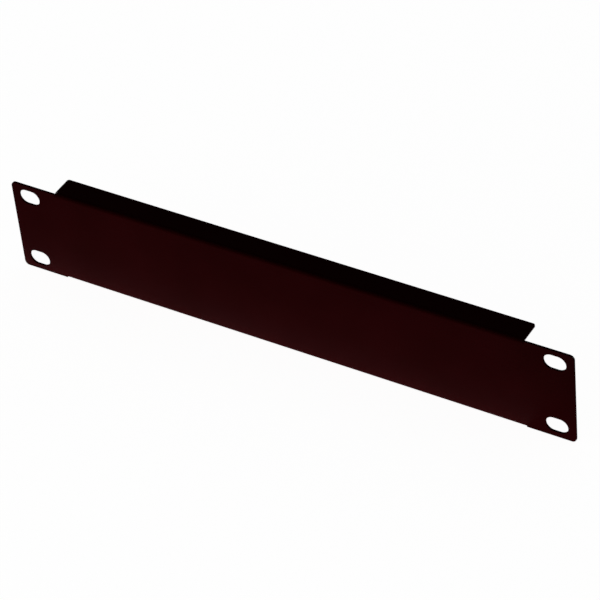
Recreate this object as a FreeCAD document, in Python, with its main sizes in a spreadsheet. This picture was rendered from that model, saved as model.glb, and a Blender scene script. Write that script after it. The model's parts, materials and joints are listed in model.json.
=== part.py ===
import FreeCAD, Part
import math
import os

import Sketcher

# Blanking panel, one unit high, for a half-width (ten inch) equipment rack.
#
# The panel is one piece of sheet steel. A flat blank is punched, then its top and bottom edges are folded
# back between the ears: the middle becomes a shallow channel, and the ears stay flat for the rack's rails.
#
# Frame, in millimetres: X runs along the panel, the plain front looks towards -Y, and Z is up.
# The origin is the middle of the four slots, on the rear face of the sheet, which lies against the rails.

doc = FreeCAD.newDocument("rack_blanking_panel")

# Driving sizes ------------------------------------------------------------------------------------------
# The slots have to meet the rack's rails, so every outline is set out from the middles of the slots.

SIZES = (
    ("slot_pitch_across", 236.525, "left slots to right slots, as a half-width rack's rails"),
    ("slot_pitch_up", 31.75, "lower slots to upper slots, as the outer holes of one rack unit"),
    ("slot_width", 6.9, "clears a 6 mm screw"),
    ("slot_travel", 2.7, "how far the screw can be moved along its slot"),
    ("slot_to_end", 8.15, "middle of a slot to the end of its ear"),
    ("slot_to_flange", 12.85, "middle of a slot to the flanges, which stay clear of the rail"),
    ("slot_to_edge", 5.875, "middle of a slot to the upper or lower edge of its ear"),
    ("fold_rise", 0.4, "the folded middle stands this much above and below the ears"),
    ("panel_depth", 10.6, "from the front face to the rear edges of the flanges"),
    ("sheet_thickness", 1.0, "steel with its coat"),
    ("bend_inside_radius", 0.8, "inside of both folds"),
    ("ear_corner_radius", 2.0, "outer corners of the ears"),
    ("flange_corner_radius", 1.0, "rear corners of the flanges"),
)

sheet = doc.addObject("Spreadsheet::Sheet", "Sizes")
for row, (alias, value, meaning) in enumerate(SIZES, start=1):
    sheet.set(f"A{row}", alias)
    sheet.set(f"B{row}", str(value))
    sheet.setAlias(f"B{row}", alias)
    sheet.set(f"C{row}", meaning)
doc.recompute()


def size(alias):
    return float(sheet.get(alias))


thickness = size("sheet_thickness")
slot_across = size("slot_pitch_across") / 2         # middle of the right-hand slots
slot_up = size("slot_pitch_up") / 2                 # middle of the upper slots
ear_inner = slot_across - size("slot_to_flange")
ear_outer = slot_across + size("slot_to_end")
ear_top = slot_up + size("slot_to_edge")
body_top = ear_top + size("fold_rise")
flange_rear = size("panel_depth") - thickness

# Helpers ------------------------------------------------------------------------------------------------

START, END, CENTRE = range(1, 4)                    # the points of a line or arc, as constraints name them
SKETCH_ORIGIN = (-1, 1)
SKETCH_AXES = {"level": -1, "upright": -2}
SKETCH_NORMAL = FreeCAD.Vector(0, 0, 1)
TOLERANCE = 1e-6


def line(start, end):
    return Part.LineSegment(FreeCAD.Vector(*start, 0), FreeCAD.Vector(*end, 0))


def arc(centre, radius, first_degrees, last_degrees):
    circle = Part.Circle(FreeCAD.Vector(*centre, 0), SKETCH_NORMAL, radius)
    return Part.ArcOfCircle(circle, math.radians(first_degrees), math.radians(last_degrees))


def origin_plane(body, role):
    return next(feature for feature in body.Origin.OriginFeatures if feature.Role == role)


def new_sketch(body, name, role):
    sketch = body.newObject("Sketcher::SketchObject", name)
    sketch.AttachmentSupport = [(origin_plane(body, role), "")]
    sketch.MapMode = "FlatFace"
    return sketch


def hold(sketch, kind, *where):
    sketch.addConstraint(Sketcher.Constraint(kind, *where))


def dimension(sketch, name, formula, value, kind, *where):
    """Add a driving dimension at its present value and bind it to the sheet."""
    index = sketch.addConstraint(Sketcher.Constraint(kind, *where, value))
    sketch.renameConstraint(index, name)
    sketch.setExpression(f"Constraints.{name}", formula)


def round_edges(body, name, formula, wanted):
    """Fillet the edges of the body's last feature that pass the test."""
    base = body.Tip
    numbered = enumerate(base.Shape.Edges, start=1)
    edges = [f"Edge{number}" for number, edge in numbered if wanted(edge.BoundBox)]
    fillet = body.newObject("PartDesign::Fillet", name)
    fillet.Base = (base, edges)
    fillet.setExpression("Radius", formula)
    body.Tip = fillet
    doc.recompute()


# The panel ----------------------------------------------------------------------------------------------

panel = doc.addObject("PartDesign::Body", "Panel")
panel.Label = "panel"


def folded_section():
    """The channel's section: the front and its two flanges, of one thickness all round."""
    inside = size("bend_inside_radius")
    outside = inside + thickness
    fold = body_top - outside                       # height of the folds' centres
    inner_top = body_top - thickness
    sketch = new_sketch(panel, "FoldedSection", "YZ_Plane")
    curves = {
        "top_outside": line((flange_rear, body_top), (inside, body_top)),
        "top_fold_outside": arc((inside, fold), outside, 90, 180),
        "front": line((-thickness, fold), (-thickness, -fold)),
        "bottom_fold_outside": arc((inside, -fold), outside, 180, 270),
        "bottom_outside": line((inside, -body_top), (flange_rear, -body_top)),
        "bottom_edge": line((flange_rear, -body_top), (flange_rear, -inner_top)),
        "bottom_inside": line((flange_rear, -inner_top), (inside, -inner_top)),
        "bottom_fold_inside": arc((inside, -fold), inside, 180, 270),
        "back": line((0, -fold), (0, fold)),
        "top_fold_inside": arc((inside, fold), inside, 90, 180),
        "top_inside": line((inside, inner_top), (flange_rear, inner_top)),
        "top_edge": line((flange_rear, inner_top), (flange_rear, body_top)),
    }
    of = {name: sketch.addGeometry(curve, False) for name, curve in curves.items()}

    smooth = (
        ("top_outside", END, "top_fold_outside", START),
        ("top_fold_outside", END, "front", START),
        ("front", END, "bottom_fold_outside", START),
        ("bottom_fold_outside", END, "bottom_outside", START),
        ("bottom_inside", END, "bottom_fold_inside", END),
        ("bottom_fold_inside", START, "back", START),
        ("back", END, "top_fold_inside", END),
        ("top_fold_inside", START, "top_inside", START),
    )
    square = (
        ("bottom_outside", END, "bottom_edge", START),
        ("bottom_edge", END, "bottom_inside", START),
        ("top_inside", END, "top_edge", START),
        ("top_edge", END, "top_outside", START),
    )
    for first, first_end, second, second_end in smooth:
        hold(sketch, "Tangent", of[first], first_end, of[second], second_end)
    for first, first_end, second, second_end in square:
        hold(sketch, "Coincident", of[first], first_end, of[second], second_end)
    for name in ("top_outside", "bottom_outside", "bottom_inside", "top_inside"):
        hold(sketch, "Horizontal", of[name])
    for name in ("front", "bottom_edge", "back", "top_edge"):
        hold(sketch, "Vertical", of[name])
    for name in ("top_fold", "bottom_fold"):
        hold(sketch, "Coincident", of[f"{name}_inside"], CENTRE, of[f"{name}_outside"], CENTRE)
    hold(sketch, "Equal", of["top_fold_inside"], of["bottom_fold_inside"])
    hold(sketch, "PointOnObject", of["back"], START, SKETCH_AXES["upright"])
    hold(sketch, "Symmetric", of["top_outside"], START, of["bottom_outside"], END, SKETCH_AXES["level"])

    dimension(sketch, "thickness", "Sizes.sheet_thickness", thickness,
              "DistanceY", of["top_edge"], START, of["top_edge"], END)
    dimension(sketch, "inside_radius", "Sizes.bend_inside_radius", inside, "Radius", of["top_fold_inside"])
    dimension(sketch, "half_height", "Sizes.slot_pitch_up / 2 + Sizes.slot_to_edge + Sizes.fold_rise",
              body_top, "DistanceY", *SKETCH_ORIGIN, of["top_outside"], START)
    dimension(sketch, "depth", "Sizes.panel_depth", flange_rear + thickness,
              "DistanceX", of["front"], END, of["bottom_outside"], END)
    return sketch


def ear_outline():
    """One ear, a plain rectangle round the middles of its two slots. It starts where the flanges end."""
    sketch = new_sketch(panel, "EarOutline", "XZ_Plane")
    corners = [(ear_inner, -ear_top), (ear_outer, -ear_top), (ear_outer, ear_top), (ear_inner, ear_top)]
    bottom, end, top, joint = (
        sketch.addGeometry(line(first, last), False)
        for first, last in zip(corners, corners[1:] + corners[:1])
    )
    upper_slot = sketch.addGeometry(Part.Point(FreeCAD.Vector(slot_across, slot_up, 0)), True)
    for first, second in ((bottom, end), (end, top), (top, joint), (joint, bottom)):
        hold(sketch, "Coincident", first, END, second, START)
    hold(sketch, "Horizontal", bottom)
    hold(sketch, "Horizontal", top)
    hold(sketch, "Vertical", joint)
    hold(sketch, "Symmetric", end, START, end, END, SKETCH_AXES["level"])
    dimension(sketch, "slot_across", "Sizes.slot_pitch_across / 2", slot_across,
              "DistanceX", *SKETCH_ORIGIN, upper_slot, START)
    dimension(sketch, "slot_up", "Sizes.slot_pitch_up / 2", slot_up,
              "DistanceY", *SKETCH_ORIGIN, upper_slot, START)
    dimension(sketch, "to_end", "Sizes.slot_to_end", ear_outer - slot_across,
              "DistanceX", upper_slot, START, end, END)
    dimension(sketch, "to_flange", "Sizes.slot_to_flange", slot_across - ear_inner,
              "DistanceX", joint, START, upper_slot, START)
    dimension(sketch, "to_edge", "Sizes.slot_to_edge", ear_top - slot_up,
              "DistanceY", upper_slot, START, end, END)
    return sketch


def slot_outlines():
    """The two slots of one ear: level, round-ended and centred on the rail's holes."""
    radius = size("slot_width") / 2
    travel = size("slot_travel")
    left = slot_across - travel / 2
    right = slot_across + travel / 2
    sketch = new_sketch(panel, "SlotOutlines", "XZ_Plane")
    for place, up in (("upper", slot_up), ("lower", -slot_up)):
        near_end = sketch.addGeometry(arc((left, up), radius, 90, 270), False)
        floor = sketch.addGeometry(line((left, up - radius), (right, up - radius)), False)
        far_end = sketch.addGeometry(arc((right, up), radius, 270, 450), False)
        roof = sketch.addGeometry(line((right, up + radius), (left, up + radius)), False)
        middle = sketch.addGeometry(Part.Point(FreeCAD.Vector(slot_across, up, 0)), True)
        for first, second in ((near_end, floor), (floor, far_end), (far_end, roof), (roof, near_end)):
            hold(sketch, "Tangent", first, END, second, START)
        hold(sketch, "Horizontal", floor)
        hold(sketch, "Horizontal", roof)
        hold(sketch, "Symmetric", near_end, CENTRE, far_end, CENTRE, middle, START)
        dimension(sketch, f"{place}_radius", "Sizes.slot_width / 2", radius, "Radius", near_end)
        dimension(sketch, f"{place}_travel", "Sizes.slot_travel", travel,
                  "DistanceX", near_end, CENTRE, far_end, CENTRE)
        dimension(sketch, f"{place}_across", "Sizes.slot_pitch_across / 2", slot_across,
                  "DistanceX", *SKETCH_ORIGIN, middle, START)
        ends = (SKETCH_ORIGIN, (middle, START))
        below, above = ends if up > 0 else ends[::-1]
        dimension(sketch, f"{place}_up", "Sizes.slot_pitch_up / 2", slot_up, "DistanceY", *below, *above)
    return sketch


# The folded middle, drawn as its section and run along the panel between the ears.
channel = panel.newObject("PartDesign::Pad", "Channel")
channel.Profile = folded_section()
channel.SideType = "Symmetric"
channel.setExpression("Length", "Sizes.slot_pitch_across - 2 * Sizes.slot_to_flange")

# One ear. It grows forwards from the rail plane, so that its front is flush with the channel's.
ear = panel.newObject("PartDesign::Pad", "Ear")
ear.Profile = ear_outline()
ear.setExpression("Length", "Sizes.sheet_thickness")
doc.recompute()

slots = panel.newObject("PartDesign::Pocket", "Slots")
slots.Profile = slot_outlines()
slots.Type = "ThroughAll"
slots.Reversed = True
doc.recompute()

# The other ear is the same one, mirrored.
both_ears = panel.newObject("PartDesign::Mirrored", "BothEars")
both_ears.Originals = [ear, slots]
both_ears.MirrorPlane = (origin_plane(panel, "YZ_Plane"), [""])
panel.Tip = both_ears
doc.recompute()


def at_ear_corner(box):
    return abs(abs(box.Center.x) - ear_outer) < TOLERANCE and box.ZLength < TOLERANCE


def at_flange_corner(box):
    at_end = abs(abs(box.Center.x) - ear_inner) < TOLERANCE and box.XLength < TOLERANCE
    return at_end and abs(box.Center.y - flange_rear) < TOLERANCE and box.YLength < TOLERANCE


round_edges(panel, "EarCorners", "Sizes.ear_corner_radius", at_ear_corner)
round_edges(panel, "FlangeCorners", "Sizes.flange_corner_radius", at_flange_corner)

# Checks and export --------------------------------------------------------------------------------------

for thing in doc.Objects:
    if {"Invalid", "Error"} & set(thing.State):
        raise RuntimeError(f"{thing.Label} failed: {thing.State}")
for sketch in doc.findObjects("Sketcher::SketchObject"):
    if sketch.solve() != 0 or not sketch.FullyConstrained:
        raise RuntimeError(f"{sketch.Label} isn't fully constrained")
if panel.Shape.isNull() or not panel.Shape.isValid() or len(panel.Shape.Solids) != 1:
    raise RuntimeError("the panel isn't one valid solid")

slot_area = math.pi * (size("slot_width") / 2)**2 + size("slot_width") * size("slot_travel")
slot_volume = 2 * slot_area * thickness
if abs(ear.Shape.Volume - slots.Shape.Volume - slot_volume) > TOLERANCE * slot_volume:
    raise RuntimeError("the slots don't go through the ear")

os.makedirs("parts", exist_ok=True)
panel.Shape.exportStep(f"parts/{panel.Label}.step")
overall = panel.Shape.BoundBox
print(f"panel: {overall.XLength:.2f} x {overall.YLength:.2f} x {overall.ZLength:.2f} mm,"
      f" {panel.Shape.Volume:.1f} mm3, {len(panel.Shape.Faces)} faces")
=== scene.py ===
# %% [markdown]
# # A rack blanking panel in powder-coated steel
# A blanking panel closes an unused space in an equipment rack, so that cool air can't slip
# through the gap. This one is a single steel sheet: it is cut flat, its four slots are punched,
# and its upper and lower flanges are folded back. Then it is coated with powder and baked.
# The lesson makes it in the same order: outline, slots, folds, softened edges, coating.
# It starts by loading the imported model, which fixes every size and place.

# %% Load the frame that everything is built around
import json
import math

import bmesh
import bpy
from mathutils import Matrix, Vector


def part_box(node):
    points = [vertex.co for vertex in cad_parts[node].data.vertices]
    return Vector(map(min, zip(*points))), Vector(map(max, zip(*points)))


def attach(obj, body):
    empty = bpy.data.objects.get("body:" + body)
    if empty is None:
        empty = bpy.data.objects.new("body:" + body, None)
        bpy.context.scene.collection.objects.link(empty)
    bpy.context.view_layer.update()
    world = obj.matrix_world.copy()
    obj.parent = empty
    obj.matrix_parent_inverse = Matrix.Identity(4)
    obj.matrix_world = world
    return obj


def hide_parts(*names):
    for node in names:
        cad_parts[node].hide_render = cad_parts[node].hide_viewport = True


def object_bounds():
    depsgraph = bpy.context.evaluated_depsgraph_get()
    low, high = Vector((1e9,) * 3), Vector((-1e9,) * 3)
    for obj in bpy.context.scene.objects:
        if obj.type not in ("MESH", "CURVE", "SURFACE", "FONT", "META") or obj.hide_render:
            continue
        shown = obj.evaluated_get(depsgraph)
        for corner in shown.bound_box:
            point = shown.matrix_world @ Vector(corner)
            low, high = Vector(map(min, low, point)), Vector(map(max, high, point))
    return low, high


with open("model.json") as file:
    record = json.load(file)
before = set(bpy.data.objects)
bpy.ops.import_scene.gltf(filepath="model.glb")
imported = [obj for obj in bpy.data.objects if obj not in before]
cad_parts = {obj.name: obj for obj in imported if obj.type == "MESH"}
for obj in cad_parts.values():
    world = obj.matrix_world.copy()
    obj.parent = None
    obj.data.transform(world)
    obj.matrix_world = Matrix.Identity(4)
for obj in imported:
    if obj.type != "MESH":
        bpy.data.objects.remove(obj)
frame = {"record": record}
frame_low, frame_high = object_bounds()
MM = 0.001

print("frame from", [round(v / MM, 2) for v in frame_low], "mm")
print("frame to  ", [round(v / MM, 2) for v in frame_high], "mm")

# %% [markdown]
# ## Where the camera stands
# The panel is seen from above, from a little to the right of its front, through a long lens. A long lens
# held far away keeps the two long edges of the sheet nearly parallel. The camera is also turned
# a few degrees about its own line of sight. It could be aimed with a Track To constraint, but
# that allows no such turn, so its direction is worked out here from an azimuth, an elevation
# and a roll, and the three axes go straight into the camera's matrix.

# %% Camera
CAMERA_AZIMUTH = math.radians(34.026)
CAMERA_ELEVATION = math.radians(40.467)
CAMERA_ROLL = math.radians(-6.057)
CAMERA_DISTANCE = 1.2070
LENS_LENGTH = 184.54
SENSOR_WIDTH = 36.0
AIM_TO_THE_RIGHT = 3.47 * MM
AIM_UPWARDS = -0.41 * MM
NEAREST_SEEN = 0.05
FARTHEST_SEEN = 50.0

panel_middle = (frame_low + frame_high) / 2
sight_line = Vector((
    -math.sin(CAMERA_AZIMUTH) * math.cos(CAMERA_ELEVATION),
    math.cos(CAMERA_AZIMUTH) * math.cos(CAMERA_ELEVATION),
    -math.sin(CAMERA_ELEVATION),
))
level_right = Vector((math.cos(CAMERA_AZIMUTH), math.sin(CAMERA_AZIMUTH), 0.0))
level_up = level_right.cross(sight_line)
camera_right = level_right * math.cos(CAMERA_ROLL) + level_up * math.sin(CAMERA_ROLL)
camera_up = camera_right.cross(sight_line)
aim_point = panel_middle + level_right * AIM_TO_THE_RIGHT + level_up * AIM_UPWARDS

camera_data = bpy.data.cameras.new("camera")
camera_data.sensor_width = SENSOR_WIDTH
camera_data.lens = LENS_LENGTH
camera_data.clip_start = NEAREST_SEEN
camera_data.clip_end = FARTHEST_SEEN
camera = bpy.data.objects.new("camera", camera_data)
camera.matrix_world = Matrix.Translation(aim_point - sight_line * CAMERA_DISTANCE) @ Matrix(
    (camera_right, camera_up, -sight_line)
).transposed().to_4x4()
bpy.context.scene.collection.objects.link(camera)
bpy.context.scene.camera = camera

print("camera at", [round(v, 4) for v in camera.matrix_world.translation])

# %% [markdown]
# ## The sizes of the sheet
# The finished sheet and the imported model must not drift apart, so its sizes are taken from the model
# where they can be. The box gives the overall sizes. The record gives the slots, with their pitch
# across and up, their rounded ends and their length, and its origin lies on the rear face of the
# sheet, which gives the thickness. Only the rest is written down here: how long the ears are, how
# far their edges stay inside the folds, and the radii.

# %% Sizes
panel_low, panel_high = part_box("panel")
slots = next(mount for mount in frame["record"]["mounts"] if mount["name"] == "rack_slots")
slot_middle = Vector(slots["pos_m"])

SLOT_PITCH_ACROSS = slots["dims"]["spacing_x_mm"] * MM
SLOT_PITCH_UP = slots["dims"]["spacing_y_mm"] * MM
SLOT_LENGTH = slots["dims"]["slot_length_mm"] * MM
SLOT_RADIUS = slots["dims"]["hole_r_mm"] * MM

SHEET_THICKNESS = slot_middle.y - panel_low.y
PANEL_HALF_WIDTH = (panel_high.x - panel_low.x) / 2
PANEL_HALF_HEIGHT = (panel_high.z - panel_low.z) / 2
PANEL_DEPTH = panel_high.y - panel_low.y
EAR_LENGTH = 21.0 * MM
EDGE_BELOW_FOLD = 0.4 * MM
BEND_OUTSIDE_RADIUS = 1.8 * MM
EAR_CORNER_RADIUS = 2.0 * MM
FLANGE_CORNER_RADIUS = 1.0 * MM

flange_half_width = PANEL_HALF_WIDTH - EAR_LENGTH
ear_half_height = PANEL_HALF_HEIGHT - EDGE_BELOW_FOLD

print("sheet", round(SHEET_THICKNESS / MM, 3), "mm thick,", round(2 * PANEL_HALF_WIDTH / MM, 3), "mm wide,",
      round(2 * PANEL_HALF_HEIGHT / MM, 3), "mm high,", round(PANEL_DEPTH / MM, 3), "mm deep")

# %% [markdown]
# ## The powder coat
# Powder coating is dry paint: charged powder clings to the steel and melts in an oven into one tough
# film, 0.06 to 0.08 mm thick. It hides the metal completely, so the shader isn't metallic. As it
# melts it draws into low, soft bumps a millimetre or two across, which is called orange peel.
# Here a noise in object coordinates bumps the surface by a few micrometres. Slow clouds and a fine
# grain vary the colour a little, and wide patches the gloss, as in a real film. The coordinates are
# in metres, so a noise with a scale of one over 1.4 mm has bumps 1.4 mm across, whatever the
# sheet's size.
# The gloss level is far below paint's usual 0.5. Everything round the panel is pure white, and
# so dark a coat would look grey if it mirrored even a hundredth of that.

# %% Coating: the node helper
NODE_SPACING = 200


def add_node(tree, kind, place, title=None, **settings):
    """One node of a tree, at a place in its editor, with its title and its settings."""
    node = tree.nodes.new(kind)
    node.location = (place[0] * NODE_SPACING, place[1] * NODE_SPACING)
    if title:
        node.label = title
    for setting, value in settings.items():
        setattr(node, setting, value)
    return node


NOISE_LOW = 0.3
NOISE_HIGH = 0.7


def noise_between(tree, coordinates, place, title, size, low, high, detail=2.0):
    """A noise with features of one size, spread from a low value to a high one."""
    noise = add_node(tree, "ShaderNodeTexNoise", place, title)
    noise.inputs["Scale"].default_value = 1.0 / size
    noise.inputs["Detail"].default_value = detail
    spread = add_node(tree, "ShaderNodeMapRange", (place[0] + 1, place[1]), title)
    spread.inputs["From Min"].default_value = NOISE_LOW
    spread.inputs["From Max"].default_value = NOISE_HIGH
    spread.inputs["To Min"].default_value = low
    spread.inputs["To Max"].default_value = high
    tree.links.new(coordinates, noise.inputs["Vector"])
    tree.links.new(noise.outputs["Fac"], spread.inputs["Value"])
    return spread.outputs["Result"]


print("helpers ready")

# %% Coating: colour, gloss and orange peel
COAT_DARK = (0.0135, 0.0002, 0.0004, 1.0)
COAT_LIGHT = (0.0170, 0.0005, 0.0009, 1.0)
COAT_GLOSS_LEVEL = 0.002
CLOUD_SIZE = 28.0 * MM
GRAIN_SIZE = 0.35 * MM
GRAIN_AMOUNT = 0.25
SHEEN_PATCH_SIZE = 6.0 * MM
SMOOTHEST = 0.42
ROUGHEST = 0.52
PEEL_SIZE = 1.4 * MM
PEEL_HEIGHT = 0.012 * MM
PEEL_STRENGTH = 0.5

powder_coat = bpy.data.materials.new("satin_powder_coat")
powder_coat.use_nodes = True
coat_tree = powder_coat.node_tree
coat_shader = coat_tree.nodes["Principled BSDF"]
coat_shader.inputs["Specular IOR Level"].default_value = COAT_GLOSS_LEVEL
coat_places = add_node(coat_tree, "ShaderNodeTexCoord", (-6, 0)).outputs["Object"]

clouds = noise_between(coat_tree, coat_places, (-5, 2), "slow clouds", CLOUD_SIZE, 0.0, 1.0)
grains = noise_between(
    coat_tree, coat_places, (-5, 1), "powder grain", GRAIN_SIZE, -GRAIN_AMOUNT, GRAIN_AMOUNT
)
blend_amount = add_node(
    coat_tree, "ShaderNodeMath", (-3, 1.5), "clouds and grain", operation="ADD", use_clamp=True
)
coat_tree.links.new(clouds, blend_amount.inputs[0])
coat_tree.links.new(grains, blend_amount.inputs[1])

coat_colour = add_node(coat_tree, "ShaderNodeMix", (-2, 1.5), "coat colour", data_type="RGBA")
coat_colour.inputs["A"].default_value = COAT_DARK
coat_colour.inputs["B"].default_value = COAT_LIGHT
coat_tree.links.new(blend_amount.outputs[0], coat_colour.inputs["Factor"])
coat_tree.links.new(coat_colour.outputs["Result"], coat_shader.inputs["Base Color"])

coat_roughness = noise_between(
    coat_tree, coat_places, (-5, 0), "sheen patches", SHEEN_PATCH_SIZE, SMOOTHEST, ROUGHEST
)
coat_tree.links.new(coat_roughness, coat_shader.inputs["Roughness"])

peel = noise_between(coat_tree, coat_places, (-5, -1), "orange peel", PEEL_SIZE, 0.0, 1.0, detail=1.0)
peel_bump = add_node(coat_tree, "ShaderNodeBump", (-2, -1), "orange peel")
peel_bump.inputs["Strength"].default_value = PEEL_STRENGTH
peel_bump.inputs["Distance"].default_value = PEEL_HEIGHT
coat_tree.links.new(peel, peel_bump.inputs["Height"])
coat_tree.links.new(peel_bump.outputs["Normal"], coat_shader.inputs["Normal"])

print("powder coat has", len(coat_tree.nodes), "nodes")

# %% [markdown]
# ## The shape, by Geometry Nodes
# A box with holes could be modelled by hand, but a folded sheet follows a rule, so a node tree
# makes it from its sizes. The tree works on a bench: x runs along the panel, y up it and z out of
# its front. A flat bar swept along a path with two bends is the channel of front and flanges, and
# two filled outlines with holes are the ears. The tree's last turn stands these three bodies
# upright, and they are joined after that. First comes the tree with its named inputs.

# %% Shape: the tree and its inputs
shape_tree = bpy.data.node_groups.new("folded_sheet", "GeometryNodeTree")
shape_tree.interface.new_socket("Geometry", in_out="OUTPUT", socket_type="NodeSocketGeometry")
shape_tree.interface.new_socket("Geometry", in_out="INPUT", socket_type="NodeSocketGeometry")

SHEET_SIZES = {
    "Thickness": SHEET_THICKNESS,
    "Half height": PANEL_HALF_HEIGHT,
    "Depth": PANEL_DEPTH,
    "Bend radius": BEND_OUTSIDE_RADIUS,
    "Flange half width": flange_half_width,
    "Ear length": EAR_LENGTH,
    "Ear half height": ear_half_height,
    "Ear corner": EAR_CORNER_RADIUS,
    "Slot pitch across": SLOT_PITCH_ACROSS,
    "Slot pitch up": SLOT_PITCH_UP,
    "Slot radius": SLOT_RADIUS,
    "Slot travel": SLOT_LENGTH - 2 * SLOT_RADIUS,
}
size_inputs = {}
for size_name in SHEET_SIZES:
    size_inputs[size_name] = shape_tree.interface.new_socket(
        size_name, in_out="INPUT", socket_type="NodeSocketFloat"
    ).identifier
coating_input = shape_tree.interface.new_socket(
    "Coating", in_out="INPUT", socket_type="NodeSocketMaterial"
).identifier

group_in = add_node(shape_tree, "NodeGroupInput", (-8, 0))
group_out = add_node(shape_tree, "NodeGroupOutput", (9, 0))
connect = shape_tree.links.new


def size(name):
    """The socket that brings one named size into the tree."""
    return group_in.outputs[name]


def calculate(place, operation, first, second=None, title=None):
    """A small sum on one or two sizes or numbers."""
    node = add_node(shape_tree, "ShaderNodeMath", place, title, operation=operation)
    for socket, value in zip(node.inputs, (first, second)):
        if isinstance(value, (int, float)):
            socket.default_value = value
        elif value is not None:
            connect(value, socket)
    return node.outputs[0]


def vector(place, x=0.0, y=0.0, z=0.0):
    """A vector from three sizes or numbers."""
    node = add_node(shape_tree, "ShaderNodeCombineXYZ", place)
    for socket, value in zip(node.inputs, (x, y, z)):
        if isinstance(value, (int, float)):
            socket.default_value = value
        else:
            connect(value, socket)
    return node.outputs[0]


print("tree has", len(SHEET_SIZES), "named sizes")

# %% [markdown]
# ### The channel: front and flanges
# The sheet's middle line is a path of three straight runs. Fillet Curve rounds its two corners with
# true arcs, as a press brake rounds steel over its die. The bar that is swept along it is as thick
# as the sheet and as wide as the flanges. Its radius is that of the middle line, half a sheet less than
# the outside one.

# %% Shape: the channel
BEND_STEPS = 10

half_sheet = calculate((-7, 4), "MULTIPLY", size("Thickness"), 0.5, "half the sheet")
middle_height = calculate((-6, 4), "SUBTRACT", size("Half height"), half_sheet, "middle line's height")
lower_height = calculate((-5, 4), "MULTIPLY", middle_height, -1.0)
flange_back = calculate((-6, 5), "SUBTRACT", size("Thickness"), size("Depth"), "flange's rear edge")
middle_radius = calculate((-6, 3), "SUBTRACT", size("Bend radius"), half_sheet, "middle line's bend")

path = add_node(
    shape_tree, "GeometryNodeCurvePrimitiveQuadrilateral", (-3, 4), "middle line", mode="POINTS"
)
connect(vector((-4, 5.5), y=lower_height, z=flange_back), path.inputs["Point 1"])
connect(vector((-4, 5), y=lower_height, z=half_sheet), path.inputs["Point 2"])
connect(vector((-4, 4.5), y=middle_height, z=half_sheet), path.inputs["Point 3"])
connect(vector((-4, 4), y=middle_height, z=flange_back), path.inputs["Point 4"])
open_path = add_node(shape_tree, "GeometryNodeSetSplineCyclic", (-2, 4), "left open")
open_path.inputs["Cyclic"].default_value = False
bent_path = add_node(shape_tree, "GeometryNodeFilletCurve", (-1, 4), "two bends", mode="POLY")
bent_path.inputs["Count"].default_value = BEND_STEPS
connect(path.outputs["Curve"], open_path.inputs["Geometry"])
connect(open_path.outputs["Geometry"], bent_path.inputs["Curve"])
connect(middle_radius, bent_path.inputs["Radius"])

flange_width = calculate((-3, 3), "MULTIPLY", size("Flange half width"), 2.0, "flange width")
bar = add_node(shape_tree, "GeometryNodeCurvePrimitiveQuadrilateral", (-1, 3), "flat bar")
connect(flange_width, bar.inputs["Width"])
connect(size("Thickness"), bar.inputs["Height"])
channel = add_node(shape_tree, "GeometryNodeCurveToMesh", (0, 4), "channel")
channel.inputs["Fill Caps"].default_value = True
connect(bent_path.outputs["Curve"], channel.inputs["Curve"])
connect(bar.outputs["Curve"], channel.inputs["Profile Curve"])

print("channel nodes ready")

# %% [markdown]
# ### The ears and their four slots
# The ear's outline is a rectangle whose two outer corners are rounded: Fillet Curve takes a different
# radius at each point, nought at the inner corners. A round-ended slot is a circle that is pulled apart:
# each half moves sideways by half of the travel. One slot is made, and a grid of two by two points
# repeats it at the rack's pitches. Fill Curve then fills what lies between outlines and slots.

# %% Shape: outlines of ears and slots
CORNER_STEPS = 10
SLOT_POINTS = 72

ear_height = calculate((-6, 0), "MULTIPLY", size("Ear half height"), 2.0, "ear height")
half_ear = calculate((-6, 1), "MULTIPLY", size("Ear length"), 0.5, "half an ear")
ear_middle = calculate((-5, 1), "ADD", size("Flange half width"), half_ear, "ear's middle")
left_ear = calculate((-4, 1.5), "MULTIPLY", ear_middle, -1.0, "left ear's middle")
ear_spacing = calculate((-4, 1), "MULTIPLY", ear_middle, 2.0, "from ear to ear")

ear_sheet = add_node(shape_tree, "GeometryNodeCurvePrimitiveQuadrilateral", (-4, 0), "one ear")
connect(size("Ear length"), ear_sheet.inputs["Width"])
connect(ear_height, ear_sheet.inputs["Height"])
point_place = add_node(shape_tree, "GeometryNodeInputPosition", (-6, -1))
point_parts = add_node(shape_tree, "ShaderNodeSeparateXYZ", (-5, -1))
connect(point_place.outputs["Position"], point_parts.inputs[0])
is_outer = calculate((-4, -1), "GREATER_THAN", point_parts.outputs["X"], 0.0, "outer corner")
corner_radius = calculate((-3, -1), "MULTIPLY", is_outer, size("Ear corner"), "radius at each corner")
round_ear = add_node(shape_tree, "GeometryNodeFilletCurve", (-3, 0), "rounded corners", mode="POLY")
round_ear.inputs["Count"].default_value = CORNER_STEPS
connect(ear_sheet.outputs["Curve"], round_ear.inputs["Curve"])
connect(corner_radius, round_ear.inputs["Radius"])

ear_places = add_node(shape_tree, "GeometryNodeMeshLine", (-2, 1), "two ears")
ear_places.inputs["Count"].default_value = 2
connect(vector((-3, 1.5), x=left_ear), ear_places.inputs["Start Location"])
connect(vector((-3, 1), x=ear_spacing), ear_places.inputs["Offset"])
ear_number = add_node(shape_tree, "GeometryNodeInputIndex", (-4, 2)).outputs[0]
left_is_one = calculate((-3, 2), "SUBTRACT", 1.0, ear_number, "left ear is turned")
half_turn = calculate((-2, 2), "MULTIPLY", left_is_one, math.pi, "half a turn")
two_ears = add_node(shape_tree, "GeometryNodeInstanceOnPoints", (-1, 1), "two ears")
connect(ear_places.outputs["Mesh"], two_ears.inputs["Points"])
connect(round_ear.outputs["Curve"], two_ears.inputs["Instance"])
connect(vector((-1, 2), z=half_turn), two_ears.inputs["Rotation"])

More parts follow.
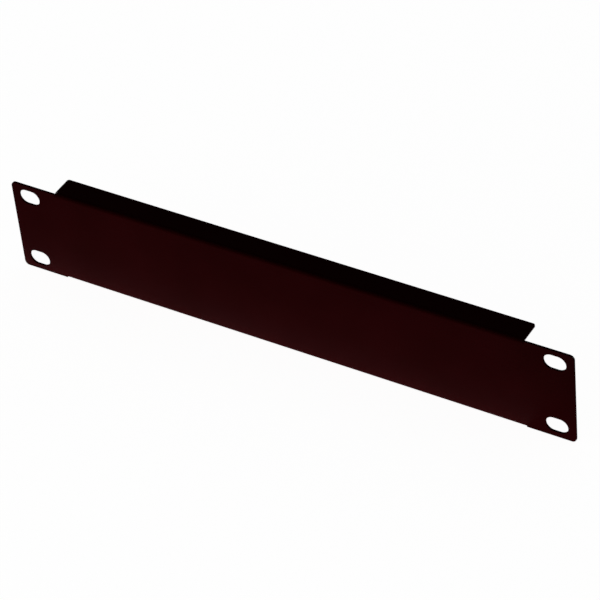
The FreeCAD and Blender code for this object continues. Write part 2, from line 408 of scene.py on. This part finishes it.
circle = add_node(shape_tree, "GeometryNodeCurvePrimitiveCircle", (-4, -2), "slot's round ends")
circle.inputs["Resolution"].default_value = SLOT_POINTS
connect(size("Slot radius"), circle.inputs["Radius"])
half_travel = calculate((-4, -3), "MULTIPLY", size("Slot travel"), 0.5, "half the travel")
which_half = calculate((-4, -1.5), "SIGN", point_parts.outputs["X"], title="left or right half")
move_apart = calculate((-3, -3), "MULTIPLY", which_half, half_travel, "pull apart")
one_slot = add_node(shape_tree, "GeometryNodeSetPosition", (-2, -2), "one slot")
connect(circle.outputs["Curve"], one_slot.inputs["Geometry"])
connect(vector((-3, -2.5), x=move_apart), one_slot.inputs["Offset"])

slot_places = add_node(shape_tree, "GeometryNodeMeshGrid", (-2, -1), "four slots")
slot_places.inputs["Vertices X"].default_value = 2
slot_places.inputs["Vertices Y"].default_value = 2
connect(size("Slot pitch across"), slot_places.inputs["Size X"])
connect(size("Slot pitch up"), slot_places.inputs["Size Y"])
four_slots = add_node(shape_tree, "GeometryNodeInstanceOnPoints", (-1, -1), "four slots")
connect(slot_places.outputs["Mesh"], four_slots.inputs["Points"])
connect(one_slot.outputs["Geometry"], four_slots.inputs["Instance"])

print("outline nodes ready")

# %% [markdown]
# ### From outlines to plates
# The filled outlines are flat, so they are pushed forward by the sheet's thickness, and a flipped copy
# closes the back. The channel and the two ears leave the tree as three bodies that meet flush at the
# flange ends. They are joined later, because soft edges are easily cut on simple bodies and hardly
# at all on joined ones.

# %% Shape: thickness and the quarter turn
outlines = add_node(shape_tree, "GeometryNodeJoinGeometry", (0, 0), "outlines")
connect(four_slots.outputs["Instances"], outlines.inputs["Geometry"])
connect(two_ears.outputs["Instances"], outlines.inputs["Geometry"])
loose_outlines = add_node(shape_tree, "GeometryNodeRealizeInstances", (1, 0))
connect(outlines.outputs["Geometry"], loose_outlines.inputs["Geometry"])
ear_faces = add_node(shape_tree, "GeometryNodeFillCurve", (2, 0), "flat ears", mode="NGONS")
connect(loose_outlines.outputs["Geometry"], ear_faces.inputs["Curve"])

pushed_ears = add_node(shape_tree, "GeometryNodeExtrudeMesh", (3, 1), "pushed forward")
pushed_ears.inputs["Individual"].default_value = False
pushed_ears.inputs["Offset Scale"].default_value = 1.0
connect(vector((2, 1), z=size("Thickness")), pushed_ears.inputs["Offset"])
connect(ear_faces.outputs["Mesh"], pushed_ears.inputs["Mesh"])
ear_backs = add_node(shape_tree, "GeometryNodeFlipFaces", (3, 0), "backs")
connect(ear_faces.outputs["Mesh"], ear_backs.inputs["Mesh"])

three_bodies = add_node(shape_tree, "GeometryNodeJoinGeometry", (4, 0), "channel and ears")
connect(pushed_ears.outputs["Mesh"], three_bodies.inputs["Geometry"])
connect(ear_backs.outputs["Mesh"], three_bodies.inputs["Geometry"])
connect(channel.outputs["Mesh"], three_bodies.inputs["Geometry"])
stood_up = add_node(shape_tree, "GeometryNodeTransform", (5, 0), "stood up")
stood_up.inputs["Rotation"].default_value = (math.pi / 2, 0.0, 0.0)
connect(three_bodies.outputs["Geometry"], stood_up.inputs["Geometry"])
realized = add_node(shape_tree, "GeometryNodeRealizeInstances", (6, 0))
connect(stood_up.outputs["Geometry"], realized.inputs["Geometry"])
coated = add_node(shape_tree, "GeometryNodeSetMaterial", (7, 0), "coated")
connect(realized.outputs["Geometry"], coated.inputs["Geometry"])
connect(size("Coating"), coated.inputs["Material"])
connect(coated.outputs["Geometry"], group_out.inputs["Geometry"])

print("tree has", len(shape_tree.nodes), "nodes")

# %% [markdown]
# ### The tree becomes a plain mesh
# The modifier gets its sizes by each socket's identifier, before it is evaluated for the first time.
# The evaluated object is then turned into a mesh of its own, and the modifier goes. Points that
# fall together are merged, which closes each body. A mesh is closed if every edge lies
# between exactly two faces, so that is counted.

# %% Shape: make the mesh
MERGE_DISTANCE = 0.002 * MM


def count_open_edges(mesh):
    """How many edges of a mesh don't lie between exactly two faces."""
    shell = bmesh.new()
    shell.from_mesh(mesh)
    open_edges = sum(1 for edge in shell.edges if len(edge.link_faces) != 2)
    shell.free()
    return open_edges


def mesh_after_modifiers(base, *set_up_modifiers):
    """A plain copy of a mesh after the modifiers that the given functions add, with none left on it."""
    worker = bpy.data.objects.new("worker", base)
    bpy.context.scene.collection.objects.link(worker)
    for set_up in set_up_modifiers:
        set_up(worker)
    evaluated = worker.evaluated_get(bpy.context.evaluated_depsgraph_get())
    result = bpy.data.meshes.new_from_object(evaluated)
    result.name = "folded_sheet"
    bpy.data.objects.remove(worker)
    return result


def add_shape_tree(worker):
    """Puts the shape tree on an object and gives it its sizes and its coat."""
    maker = worker.modifiers.new("shape", "NODES")
    maker.node_group = shape_tree
    for size_name, amount in SHEET_SIZES.items():
        maker[size_inputs[size_name]] = amount
    maker[coating_input] = powder_coat


plates = mesh_after_modifiers(bpy.data.meshes.new("start"), add_shape_tree)
shell = bmesh.new()
shell.from_mesh(plates)
bmesh.ops.remove_doubles(shell, verts=shell.verts[:], dist=MERGE_DISTANCE)
shell.to_mesh(plates)
shell.free()

print("three bodies:", len(plates.polygons), "faces,", count_open_edges(plates), "open edges")

# %% [markdown]
# ## Corners and soft edges
# The flanges' rear corners are cut round, so that they don't scratch a hand: a bevel of 1 mm on the
# four short edges there makes them. Then every sharp edge gets a very small bevel, because
# melted powder always draws back into a soft edge. Edges are picked by their angle
# and their place, so nothing depends on how the mesh happens to be numbered.

# %% Corners and edges: the bevels
EDGE_SOFTNESS = 0.16 * MM
EDGE_STEPS = 3
FLANGE_CORNER_STEPS = 8
SHARP_ANGLE = math.radians(35)
NEAR = 0.01 * MM


def is_flange_corner(edge):
    """True for the short upright edges at the flanges' rear corners."""
    one_end, other_end = (end.co for end in edge.verts)
    at_flange_end = abs(abs(one_end.x) - flange_half_width) < NEAR
    at_rear = max(abs(one_end.y - panel_high.y), abs(other_end.y - panel_high.y)) < NEAR
    return at_flange_end and at_rear and abs(one_end.x - other_end.x) < NEAR


def soften(shell, edges, width, steps):
    """Rounds the given edges by a bevel of one width."""
    bmesh.ops.bevel(
        shell, geom=edges, offset=width, segments=steps, profile=0.5, affect="EDGES", clamp_overlap=False
    )


shell = bmesh.new()
shell.from_mesh(plates)
flange_corners = [edge for edge in shell.edges if is_flange_corner(edge)]
soften(shell, flange_corners, FLANGE_CORNER_RADIUS, FLANGE_CORNER_STEPS)
sharp_edges = [edge for edge in shell.edges if edge.calc_face_angle() > SHARP_ANGLE]
soften(shell, sharp_edges, EDGE_SOFTNESS, EDGE_STEPS)
shell.to_mesh(plates)
shell.free()

print(len(flange_corners), "flange corners and", len(sharp_edges), "sharp edges softened,",
      count_open_edges(plates), "open edges")

# %% [markdown]
# ## One sheet
# Softening leaves a fine groove where each ear meets the channel, and the real sheet has none there, as
# it was never two. A short strip as thick as the sheet lies across each groove, as high as the flat
# part of the front. Then Mesh Boolean joins everything: its exact solver copes with faces that lie in
# one plane, and Self Intersection lets the bodies of one mesh be joined with each other.
# Above and below the strip the groove stays, where the ear runs past the fold. The solver works on
# several faces at once and numbers them as they get done, so they are put in a fixed order after it.

# %% One sheet: the joining tree
STRIP_HALF_WIDTH = 1.0 * MM

join_tree = bpy.data.node_groups.new("one_sheet", "GeometryNodeTree")
join_tree.interface.new_socket("Geometry", in_out="OUTPUT", socket_type="NodeSocketGeometry")
join_tree.interface.new_socket("Geometry", in_out="INPUT", socket_type="NodeSocketGeometry")
strip_size_input = join_tree.interface.new_socket(
    "Strip size", in_out="INPUT", socket_type="NodeSocketVector"
).identifier
strip_place_input = join_tree.interface.new_socket(
    "Left strip", in_out="INPUT", socket_type="NodeSocketVector"
).identifier
strip_step_input = join_tree.interface.new_socket(
    "Strip spacing", in_out="INPUT", socket_type="NodeSocketVector"
).identifier

plates_in = add_node(join_tree, "NodeGroupInput", (-3, 0))
strip = add_node(join_tree, "GeometryNodeMeshCube", (-2, -1), "strip")
strip_places = add_node(join_tree, "GeometryNodeMeshLine", (-2, 1), "over the two grooves")
strip_places.inputs["Count"].default_value = 2
strips = add_node(join_tree, "GeometryNodeInstanceOnPoints", (-1, 0), "two strips")
loose_strips = add_node(join_tree, "GeometryNodeRealizeInstances", (0, 0))
one_sheet = add_node(
    join_tree, "GeometryNodeMeshBoolean", (1, 0), "one sheet", operation="UNION", solver="EXACT"
)
one_sheet.inputs["Self Intersection"].default_value = True
clean_sheet = add_node(join_tree, "GeometryNodeMergeByDistance", (2, 0), "clean")
clean_sheet.inputs["Distance"].default_value = MERGE_DISTANCE
sheet_coated = add_node(join_tree, "GeometryNodeSetMaterial", (3, 0), "coated")
sheet_coated.inputs["Material"].default_value = powder_coat
sheet_out = add_node(join_tree, "NodeGroupOutput", (4, 0))

for start_socket, end_socket in (
    (plates_in.outputs["Strip size"], strip.inputs["Size"]),
    (plates_in.outputs["Left strip"], strip_places.inputs["Start Location"]),
    (plates_in.outputs["Strip spacing"], strip_places.inputs["Offset"]),
    (strip_places.outputs["Mesh"], strips.inputs["Points"]),
    (strip.outputs["Mesh"], strips.inputs["Instance"]),
    (strips.outputs["Instances"], loose_strips.inputs["Geometry"]),
    (plates_in.outputs["Geometry"], one_sheet.inputs["Mesh 2"]),
    (loose_strips.outputs["Geometry"], one_sheet.inputs["Mesh 2"]),
    (one_sheet.outputs["Mesh"], clean_sheet.inputs["Geometry"]),
    (clean_sheet.outputs["Geometry"], sheet_coated.inputs["Geometry"]),
    (sheet_coated.outputs["Geometry"], sheet_out.inputs["Geometry"]),
):
    join_tree.links.new(start_socket, end_socket)

print("joining tree has", len(join_tree.nodes), "nodes")

# %% One sheet: join the bodies
def add_join_tree(worker):
    """Puts the joining tree on an object, with the strips' size and places."""
    joiner = worker.modifiers.new("join", "NODES")
    joiner.node_group = join_tree
    flat_height = 2 * (PANEL_HALF_HEIGHT - BEND_OUTSIDE_RADIUS)
    joiner[strip_size_input] = (2 * STRIP_HALF_WIDTH, SHEET_THICKNESS, flat_height)
    joiner[strip_place_input] = (-flange_half_width, slot_middle.y - SHEET_THICKNESS / 2, 0.0)
    joiner[strip_step_input] = (2 * flange_half_width, 0.0, 0.0)


def in_fixed_order(mesh):
    """The same mesh with its points and faces numbered by their places, and coated."""
    order = sorted(range(len(mesh.vertices)), key=lambda number: tuple(mesh.vertices[number].co))
    new_numbers = {old: new for new, old in enumerate(order)}
    rings = []
    for face in mesh.polygons:
        ring = [new_numbers[number] for number in face.vertices]
        first = ring.index(min(ring))
        rings.append(ring[first:] + ring[:first])
    ordered = bpy.data.meshes.new("folded_sheet")
    ordered.from_pydata([mesh.vertices[number].co for number in order], [], sorted(rings))
    ordered.materials.append(powder_coat)
    return ordered


sheet = in_fixed_order(mesh_after_modifiers(plates, add_join_tree))
for face in sheet.polygons:
    face.use_smooth = True

print("one sheet:", len(sheet.polygons), "faces,", count_open_edges(sheet), "open edges")

# %% [markdown]
# ### Light on flat faces
# A large flat face beside a tiny bevel shades badly if every face counts the same, as the bevel
# bends the light across the whole flat. Weighted Normal lets the large faces decide,
# so flats stay flat and only the bevels and folds turn the light.

# %% One sheet: the finished piece
def add_weighted_normals(worker):
    """Lets the large faces decide how light falls on each corner."""
    weighting = worker.modifiers.new("weighted_normals", "WEIGHTED_NORMAL")
    weighting.mode = "FACE_AREA"
    weighting.weight = 100


folded_sheet = bpy.data.objects.new("folded_sheet", mesh_after_modifiers(sheet, add_weighted_normals))
bpy.context.scene.collection.objects.link(folded_sheet)
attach(folded_sheet, "root")
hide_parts("panel")

print("folded sheet coated with", [material.name for material in folded_sheet.data.materials])

# %% [markdown]
# ## The floor
# The panel stands on a white table. For the camera, and for gloss and glass, the floor gives off
# nearly all of its white by itself, so it looks clean and keeps a faint shadow, without
# more light on the steel.

# %% Floor
FLOOR_HALF_SIZE = 6.0
FLOOR_COLOUR = (0.8, 0.8, 0.8, 1.0)
FLOOR_OWN_WHITE = 0.95

floor_material = bpy.data.materials.new("white_floor")
floor_material.use_nodes = True
floor_tree = floor_material.node_tree
floor_tree.nodes.clear()
floor_out = add_node(floor_tree, "ShaderNodeOutputMaterial", (3, 0))
matte_floor = add_node(floor_tree, "ShaderNodeBsdfDiffuse", (0, 0), "matte floor")
matte_floor.inputs["Color"].default_value = FLOOR_COLOUR


def seen_directly(tree, place):
    """1 for the camera's rays and for those through gloss and glass, 0 for the light that fills a room."""
    rays = add_node(tree, "ShaderNodeLightPath", place)
    camera_or_gloss = add_node(tree, "ShaderNodeMath", (place[0] + 1, place[1]), operation="MAXIMUM")
    tree.links.new(rays.outputs["Is Camera Ray"], camera_or_gloss.inputs[0])
    tree.links.new(rays.outputs["Is Glossy Ray"], camera_or_gloss.inputs[1])
    or_glass = add_node(tree, "ShaderNodeMath", (place[0] + 2, place[1]), operation="MAXIMUM")
    tree.links.new(camera_or_gloss.outputs[0], or_glass.inputs[0])
    tree.links.new(rays.outputs["Is Transmission Ray"], or_glass.inputs[1])
    return or_glass.outputs[0]


own_white = add_node(floor_tree, "ShaderNodeMath", (0, -1), "own white", operation="MULTIPLY")
own_white.inputs[1].default_value = FLOOR_OWN_WHITE
floor_tree.links.new(seen_directly(floor_tree, (-3, -1)), own_white.inputs[0])
glow = add_node(floor_tree, "ShaderNodeEmission", (1, -1), "own white")
floor_tree.links.new(own_white.outputs[0], glow.inputs["Strength"])
both = add_node(floor_tree, "ShaderNodeAddShader", (2, 0))
floor_tree.links.new(matte_floor.outputs[0], both.inputs[0])
floor_tree.links.new(glow.outputs[0], both.inputs[1])
floor_tree.links.new(both.outputs[0], floor_out.inputs["Surface"])

floor_corners = [
    (x * FLOOR_HALF_SIZE, y * FLOOR_HALF_SIZE, panel_low.z) for x, y in ((-1, -1), (1, -1), (1, 1), (-1, 1))
]
floor_mesh = bpy.data.meshes.new("floor")
floor_mesh.from_pydata(floor_corners, [], [(0, 1, 2, 3)])
floor_mesh.materials.append(floor_material)
floor = bpy.data.objects.new("floor", floor_mesh)
bpy.context.scene.collection.objects.link(floor)

print("floor at", round(panel_low.z / MM, 2), "mm")

# %% [markdown]
# ## The room
# The room is dim in the light that it sends, and white where it is seen, directly or in gloss. The
# same test of rays as on the floor steers a Map Range between these two strengths. A bright room
# would light every side of the sheet alike and hide the folds.

# %% Room light
ROOM_LIGHT = 0.06

world = bpy.data.worlds.new("room")
world.use_nodes = True
world_tree = world.node_tree
world_tree.nodes.clear()
world_out = add_node(world_tree, "ShaderNodeOutputWorld", (3, 0))
room = add_node(world_tree, "ShaderNodeBackground", (2, 0), "room")
strength = add_node(world_tree, "ShaderNodeMapRange", (1, 0), "dim room, white behind")
strength.inputs["To Min"].default_value = ROOM_LIGHT
strength.inputs["To Max"].default_value = 1.0
world_tree.links.new(seen_directly(world_tree, (-2, 0)), strength.inputs["Value"])
world_tree.links.new(strength.outputs[0], room.inputs["Strength"])
world_tree.links.new(room.outputs[0], world_out.inputs["Surface"])
bpy.context.scene.world = world

print("room light", ROOM_LIGHT)

# %% [markdown]
# ## Lamps
# On a bright table most of the light that reaches the steel comes up from the table top. It
# could be left to bounce off the floor, but that takes strong lamps from above, which would light
# the upper flange as much as the front. So a soft lamp wider than the panel lies on the floor and
# faces up: the front and the back take their colour from below, the light fades over the upper fold,
# and the upper flange stays nearly black. It reaches further to the left, so the right end is darker.
# A narrow one at the foot of the front shows only in the gloss, as the pale lift above the lower
# fold. One weak softbox low in front fills the folds.

# %% Lamps
def soft_lamp(name, place, aim, width, height, power):
    """A rectangular soft lamp at a place, turned to a point. The camera doesn't see it."""
    lamp_data = bpy.data.lights.new(name, "AREA")
    lamp_data.shape = "RECTANGLE"
    lamp_data.size = width
    lamp_data.size_y = height
    lamp_data.energy = power
    lamp = bpy.data.objects.new(name, lamp_data)
    lamp.location = place
    lamp.rotation_euler = (Vector(aim) - Vector(place)).to_track_quat("-Z", "Y").to_euler()
    lamp.visible_camera = False
    bpy.context.scene.collection.objects.link(lamp)
    return lamp


LAMP_ABOVE_FLOOR = 0.5 * MM
LIGHT_TABLE_MIDDLE = (-0.08, 0.0)
FOOT_GLEAM_MIDDLE = (-0.03, -0.0035)

table_top = panel_low.z + LAMP_ABOVE_FLOOR
soft_lamp(
    "front_softbox", place=(-0.45, -0.90, 0.03), aim=(0.0, 0.0, 0.0),
    width=0.90, height=0.12, power=0.7,
)
light_table = soft_lamp(
    "light_table", place=(*LIGHT_TABLE_MIDDLE, table_top), aim=(*LIGHT_TABLE_MIDDLE, 1.0),
    width=0.46, height=0.40, power=1.06,
)
light_table.visible_glossy = False
foot_gleam = soft_lamp(
    "foot_gleam", place=(*FOOT_GLEAM_MIDDLE, table_top), aim=(*FOOT_GLEAM_MIDDLE, 1.0),
    width=0.27, height=0.005, power=0.026,
)
foot_gleam.visible_diffuse = False

view_settings = bpy.context.scene.view_settings
view_settings.view_transform = "Standard"

print("lamps ready, view transform", view_settings.view_transform)

# %% [markdown]
# ## The model's box
# The finished sheet has to fill the same box as the model that it stands for, so the model's box
# is printed.

# %% Print the model's box
print("model  ", [round(v / MM, 3) for v in (*frame_low, *frame_high)])
